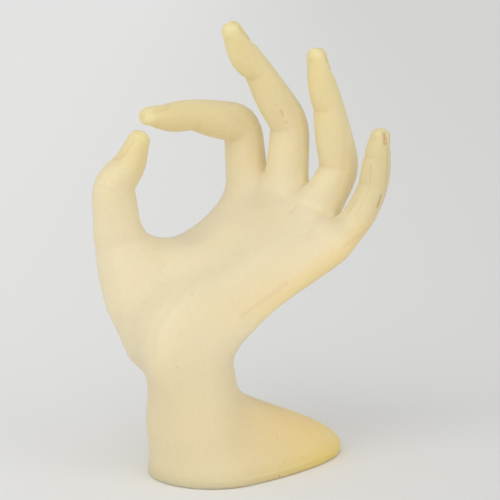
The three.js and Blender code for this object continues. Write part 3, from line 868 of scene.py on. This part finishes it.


# Colours of the resin: thick, thin, at the foot, at its toe (partly painted light, and also the painted
# shade of the palm's underside), painted light in hollows and painted shade in the fine lines round the
# nails; what its cloudiness and a greyer little finger, painted shade for the floor seen through it, take
# off; and its stains
RESIN_PALE = linear(227, 215, 183)
RESIN_THIN = linear(220, 202, 140)
RESIN_FOOT = linear(222, 206, 166)
RESIN_TOE_AND_PAINTED_SHADE = linear(244, 207, 116)
RESIN_PAINTED_LIGHT = linear(254, 241, 204)
RESIN_NAIL_GROOVE_SHADE = linear(196, 160, 90)
RESIN_CLOUD = (0.98, 0.977, 0.968, 1.0)
PAINTED_SEE_THROUGH_SHADE = (0.9, 0.91, 0.955, 1.0)
STAIN = linear(165, 98, 22)
FELT_DARK = linear(206, 196, 168)
FELT_PALE = linear(226, 217, 192)

# Fine patterns in waves to the metre, with the ranges of noise that show, and how light spreads in the resin
CLOUD_WAVES = 600
CLOUD_RANGE = (0.35, 0.65)
WORN_WAVES = 1400
WORN_RANGE = (0.3, 0.55, 0.35, 1.0)
GRAIN_WAVES = 1500
SHEEN_WAVES = 300
FIBRE_WAVES = 900
GRAIN_STRENGTH = 0.12
GRAIN_HEIGHT = 0.0002
FIBRE_STRENGTH = 0.6
FIBRE_HEIGHT = 0.0004
RESIN_SHEEN = 0.42
RESIN_SHEEN_RANGE = 0.12
RESIN_IOR = 1.5
SPREAD_SCALE = 0.01
SPREAD_RADIUS = (0.9, 0.82, 0.6)


def resin_finish():
    """Frosted cast resin: pale where thick, warmer where thin, with stains and a fine matt grain, painted
    light in hollows, and painted shade on the palm's underside, round the nails and on the little finger.
    """
    resin = Finish("frosted_resin")
    tint = RESIN_PALE
    layers = (
        ("thin", RESIN_THIN),
        ("foot", RESIN_FOOT),
        # toe: the toe's warmer tint, partly painted light on its shaded side, and the painted shade of the
        # palm's underside
        ("toe", RESIN_TOE_AND_PAINTED_SHADE),
        # painted light: a lighter tint that lifts the shade in hollows
        ("painted_light_in_hollows", RESIN_PAINTED_LIGHT),
        # line: painted shade along the grooves round the nails
        ("line", RESIN_NAIL_GROOVE_SHADE),
    )
    for name, colour in layers:
        tint = resin.colour(resin.share(name), tint, colour)
    cloud = resin.span(resin.noise(CLOUD_WAVES, 3, 0.6), *CLOUD_RANGE)
    tint = resin.colour(cloud, tint, RESIN_CLOUD, "MULTIPLY")
    # Painted shade: a greyer little finger, standing for the floor seen through it
    tint = resin.colour(resin.share("painted_see_through_shade"), tint, PAINTED_SEE_THROUGH_SHADE, "MULTIPLY")
    worn = resin.span(resin.noise(WORN_WAVES), *WORN_RANGE)
    for path, width, strength in STAINS.values():
        tint = resin.colour(strength * worn * resin.near(on_skin(path), width), tint, STAIN)
    grain = {"Strength": GRAIN_STRENGTH, "Distance": GRAIN_HEIGHT, "Height": resin.noise(GRAIN_WAVES)}
    resin.set(
        Base_Color=tint,
        Roughness=RESIN_SHEEN + RESIN_SHEEN_RANGE * resin.noise(SHEEN_WAVES),
        Normal=resin.node("Bump", inputs=grain),
        Subsurface_Weight=1.0,
        Subsurface_Radius=SPREAD_RADIUS,
        Subsurface_Scale=SPREAD_SCALE,
        IOR=RESIN_IOR,
    )
    return resin


def felt_finish():
    """Cream felt with short matted fibres."""
    felt = Finish("matted_felt")
    fibres = felt.noise(FIBRE_WAVES, 4, 0.7)
    nap = {"Strength": FIBRE_STRENGTH, "Distance": FIBRE_HEIGHT, "Height": fibres}
    felt.set(
        Base_Color=felt.colour(fibres, FELT_DARK, FELT_PALE),
        Roughness=0.95,
        Normal=felt.node("Bump", inputs=nap),
    )
    return felt


# Where a digit's warmer tint starts past its root, and its share by the middle joint
THIN_STARTS = {
    "index": (8, 0.45),
    "middle": (8, 0.45),
    "ring": (8, 0.45),
    "little": (-14, 0.8),
    "thumb": (34, 0.3),
}
THIN_AT_TIP = 0.9
THIN_PAST_JOINT = 6
THIN_REACH = 4
# Painted shade: a warmer tint on the palm's underside, which turns away from the key lamp; the direction in
# which it looks, its heights and sides, and its share of the tint
UNDERSIDE = point(0.43, 0.55, -0.715)
UNDERSIDE_LEVELS = ((62, 80), (118, 100))
UNDERSIDE_SIDE = (-2, 16)
PAINTED_SHADE_SHARE = 0.6
UNDERSIDE_TURN = (-0.6, 0.55)
# Painted light along the bottom of the hollow between the palm and the ball of the thumb, lifting the shade
# there, with its half width and share
PALM_VALLEY = np.array([(-4, -3, 97), (-9, -14, 89), (-11, -33, 85)], float)
VALLEY_WIDTH = 13
VALLEY_SHARE = 0.2
# Painted light in hollows, a lighter tint that lifts the shade where the casting is near: how far the skin
# is looked away from, and the share of the lighter tint, close by and further off
HOLLOW_REACH = 9
HOLLOW_SHARE = 0.5
HOLLOW_RANGE = (0.95, 0.15)
OPEN_REACH = 26
OPEN_SHARE = 0.3
OPEN_RANGE = (0.95, 0.4)
HOLLOW_FADE = (0.6, 9)
# Heights over which the foot and toe take their tints, and the length of the toe's; the toe's tint is partly
# its own warmer colour and partly painted light on its side away from the key lamp
FOOT_LEVELS = (75, 25)
TOE_LEVELS = (60, 25)
TOE_START = -35
TOE_LENGTH = 60
# Share of the painted shade along the nail grooves, and how near its digit it reaches
PAINTED_NAIL_SHADE_SHARE = 0.22
NAIL_LINE_REACH = (3, 2)


def thinness(name, p):
    """How far a place is out along a digit, from its root to its last joint, near that digit alone."""
    tube = TUBES[name]
    along = tube.local(p)[0]
    root, knuckle, tip = tube.joint_stops[[1, -3, -1]]
    start, low = THIN_STARTS[name]
    out = low * ease(along, root + start, knuckle + THIN_PAST_JOINT)
    out = out + (THIN_AT_TIP - low) * ease(along, knuckle, tip)
    return out * ease(tube.field(p), THIN_REACH, 0)


def painted_nail_groove_shade(name, p):
    """Painted shade along the groove round a nail, near its digit alone."""
    return tube_detail(name, p)[1] * ease(TUBES[name].field(p), *NAIL_LINE_REACH)


def on_digits(measure, p):
    """A measure's greatest value over the digits."""
    return np.maximum.reduce([sample(lambda q: measure(name, q), p) for name in DIGITS])


def tint_shares(p, outward):
    """Shares of the resin's tints at each vertex.

    They come from the height, the place along a digit, the way the skin looks, and how soon a line off
    the skin meets the casting again. Some are painted light and shade: a lighter tint in hollows, a lighter,
    warmer toe on its shaded side, a warmer tint on the underside that turns from the key lamp, lines round
    the nails, and a greyer little finger that stands for the floor seen through it.
    """
    side, depth, height = p.T
    # Painted shade: a warmer tint on the underside that turns away from the key lamp
    under = ease(outward @ UNDERSIDE, *UNDERSIDE_TURN) * ease(side, *UNDERSIDE_SIDE)
    for levels in UNDERSIDE_LEVELS:
        under = under * ease(height, *levels)
    toe = np.clip((depth - TOE_START) / TOE_LENGTH, 0, 1) * ease(height, *TOE_LEVELS)
    # Painted light: a lighter tint where the skin soon meets the casting again, along the valley under the
    # thumb, and where it faces the casting further off, lifting the shade there
    close = sample(hand_field, p + HOLLOW_REACH * outward) / HOLLOW_REACH
    far = sample(hand_field, p + OPEN_REACH * outward) / OPEN_REACH
    painted_light_in_hollows = HOLLOW_SHARE * ease(close, *HOLLOW_RANGE)
    painted_light_in_valley = VALLEY_SHARE * bell(path_distance(p, PALM_VALLEY), VALLEY_WIDTH)
    lit = painted_light_in_valley + OPEN_SHARE * ease(far, *OPEN_RANGE)
    return {
        "thin": on_digits(thinness, p),
        "foot": ease(height, *FOOT_LEVELS),
        # The toe's share also carries the painted shade of the underside
        "toe": np.maximum(toe, PAINTED_SHADE_SHARE * under),
        "painted_light_in_hollows": np.maximum(painted_light_in_hollows, lit) * ease(height, *HOLLOW_FADE),
        # line: painted shade along the grooves round the nails
        "line": PAINTED_NAIL_SHADE_SHARE * on_digits(painted_nail_groove_shade, p),
        # Painted shade on the little finger, standing for the floor seen through it
        "painted_see_through_shade": sample(lambda q: thinness("little", q), p),
    }


def hand():
    """The casting, netted at its plain field and settled on the carved one, with its tints' shares."""
    vertices, quads = surface_net(hand_field, point(*HAND_LOW), point(*HAND_HIGH), SKIN_STEP)
    vertices, slope = settle(carved_field, vertices, quads)
    outward = slope / np.maximum(np.linalg.norm(slope, axis=1), 1e-6)[:, None]
    nodes = ("base_foot", "palm", "thumb", *(finger + "_finger" for finger in FINGERS))
    shares = tint_shares(vertices, outward)
    return put("resin_hand", vertices, quads, resin_finish(), nodes, shares)


# Rounding of the pad's edge, how far its rings reach in, and the number of places round it
PAD_EDGE = 0.1
PAD_REACH = 30
PAD_PLACES = 96


def felt_pad():
    """Felt under the foot: the foot's outline drawn in, carried over a rounded edge profile."""
    half, middle, front, back, waist = foot_section(np.array([PAD_THICKNESS]))
    angle = np.linspace(0, 2 * pi, PAD_PLACES, endpoint=False)
    depth = np.where(np.sin(angle) > 0, back - waist, waist - front)
    profile = (
        (PAD_REACH, 0),
        (PAD_INSET + PAD_EDGE, 0),
        (PAD_INSET, PAD_EDGE),
        (PAD_INSET, PAD_THICKNESS - PAD_EDGE),
        (PAD_INSET + PAD_EDGE, PAD_THICKNESS),
        (PAD_REACH, PAD_THICKNESS),
    )
    rings = []
    for inset, z in profile:
        x = np.cos(angle) * np.maximum(half - inset, 0)
        y = waist + np.sin(angle) * np.maximum(depth - inset, 0)
        rings.append(np.stack([x, y, np.full_like(x, z)], -1))
    vertices = np.concatenate(rings)
    ring, place = np.meshgrid(np.arange(len(profile) - 1), np.arange(PAD_PLACES), indexing="ij")
    row = ring * PAD_PLACES
    above = row + PAD_PLACES
    after = (place + 1) % PAD_PLACES
    faces = np.stack([row + place, row + after, above + after, above + place], -1)
    return put("felt_pad", vertices, faces.reshape(-1, 4), felt_finish(), ("base_pad",))


# Camera: azimuth and elevation of the view, distance from the point it looks at, its lens, its sensor and
# how far it sees; side of the photograph in pixels; and depths that a line of sight tries, with their step
VIEW_AZIMUTH = 52.0
VIEW_ELEVATION = 10.0
VIEW_DISTANCE = 0.9
VIEW_TARGET = Vector((0, 0, 0.095))
VIEW_LENS = 150.7
VIEW_SENSOR = 36.0
VIEW_REACH = 30
VIEW_PIXELS = 500
SIGHT_DEPTHS = (780, 1020, 0.25)

# Floor: its half size, its painted light to the left and painted shade to the right of the view, and how far
# out these are reached
FLOOR_HALF_SIZE = 9
FLOOR_PAINTED_LIGHT = linear(253, 253, 252)
FLOOR_PAINTED_SHADE = linear(234, 234, 232)
FLOOR_FADE = 0.3

# Light: level of the room; turn to the left, elevation, spread and level of the key; and the same of the
# fill, which is turned to the right and has the key's spread
WORLD_LEVEL = 0.56
KEY_TURN = 25.0
KEY_ELEVATION = 35.0
KEY_SPREAD = 60.0
KEY_LEVEL = 1.0
FILL_TURN = 50.0
FILL_ELEVATION = 20.0
FILL_LEVEL = 0.45


def view_back(azimuth, elevation):
    """Direction from the object to a viewer at an azimuth and an elevation."""
    a = radians(azimuth)
    e = radians(elevation)
    return Vector((sin(a) * cos(e), -cos(a) * cos(e), sin(e)))


def floor():
    """Wide pale floor that fills the frame, with painted shade that makes it a little darker to the right of
    the view.
    """
    surface = Finish("studio_floor")
    side = surface.node("SeparateXYZ", inputs={0: surface.place()}, output="X")
    depth = surface.node("SeparateXYZ", inputs={0: surface.place()}, output="Y")
    across = side * cos(radians(VIEW_AZIMUTH)) + depth * sin(radians(VIEW_AZIMUTH))
    # Painted shade: the floor darkens towards the right of the view
    shade = surface.span(across, -FLOOR_FADE, FLOOR_FADE)
    surface.set(Base_Color=surface.colour(shade, FLOOR_PAINTED_LIGHT, FLOOR_PAINTED_SHADE), Roughness=0.9)
    mesh = bpy.data.meshes.new("studio_floor")
    far = FLOOR_HALF_SIZE
    mesh.from_pydata([(-far, -far, 0), (far, -far, 0), (far, far, 0), (-far, far, 0)], [], [(0, 1, 2, 3)])
    mesh.materials.append(surface.material)
    piece = bpy.data.objects.new("studio_floor", mesh)
    bpy.context.scene.collection.objects.link(piece)


def camera():
    """The camera that takes the photograph's view."""
    data = bpy.data.cameras.new("camera")
    data.lens = VIEW_LENS
    data.sensor_width = VIEW_SENSOR
    data.clip_end = VIEW_REACH
    made = bpy.data.objects.new("camera", data)
    back = view_back(VIEW_AZIMUTH, VIEW_ELEVATION)
    made.location = VIEW_TARGET + VIEW_DISTANCE * back
    made.rotation_euler = (-back).to_track_quat("-Z", "Y").to_euler()
    bpy.context.scene.collection.objects.link(made)
    bpy.context.scene.camera = made


def lamp(name, azimuth, elevation, spread, strength):
    """Broad even light from one side, whose spread in degrees softens the shadows."""
    data = bpy.data.lights.new(name, "SUN")
    data.energy = strength
    data.angle = radians(spread)
    made = bpy.data.objects.new(name, data)
    back = view_back(azimuth, elevation)
    made.rotation_euler = (-back).to_track_quat("-Z", "Y").to_euler()
    bpy.context.scene.collection.objects.link(made)


def light():
    """An even white room, a key from the left and a fill from the right."""
    world = bpy.data.worlds.new("studio")
    world.use_nodes = True
    room = world.node_tree.nodes["Background"]
    room.inputs["Color"].default_value = (1, 1, 1, 1)
    room.inputs["Strength"].default_value = WORLD_LEVEL
    bpy.context.scene.world = world
    lamp("key_lamp", VIEW_AZIMUTH - KEY_TURN, KEY_ELEVATION, KEY_SPREAD, KEY_LEVEL)
    lamp("fill_lamp", VIEW_AZIMUTH + FILL_TURN, FILL_ELEVATION, KEY_SPREAD, FILL_LEVEL)


hand()
felt_pad()
floor()
camera()
light()
bpy.context.scene.view_settings.view_transform = "Standard"
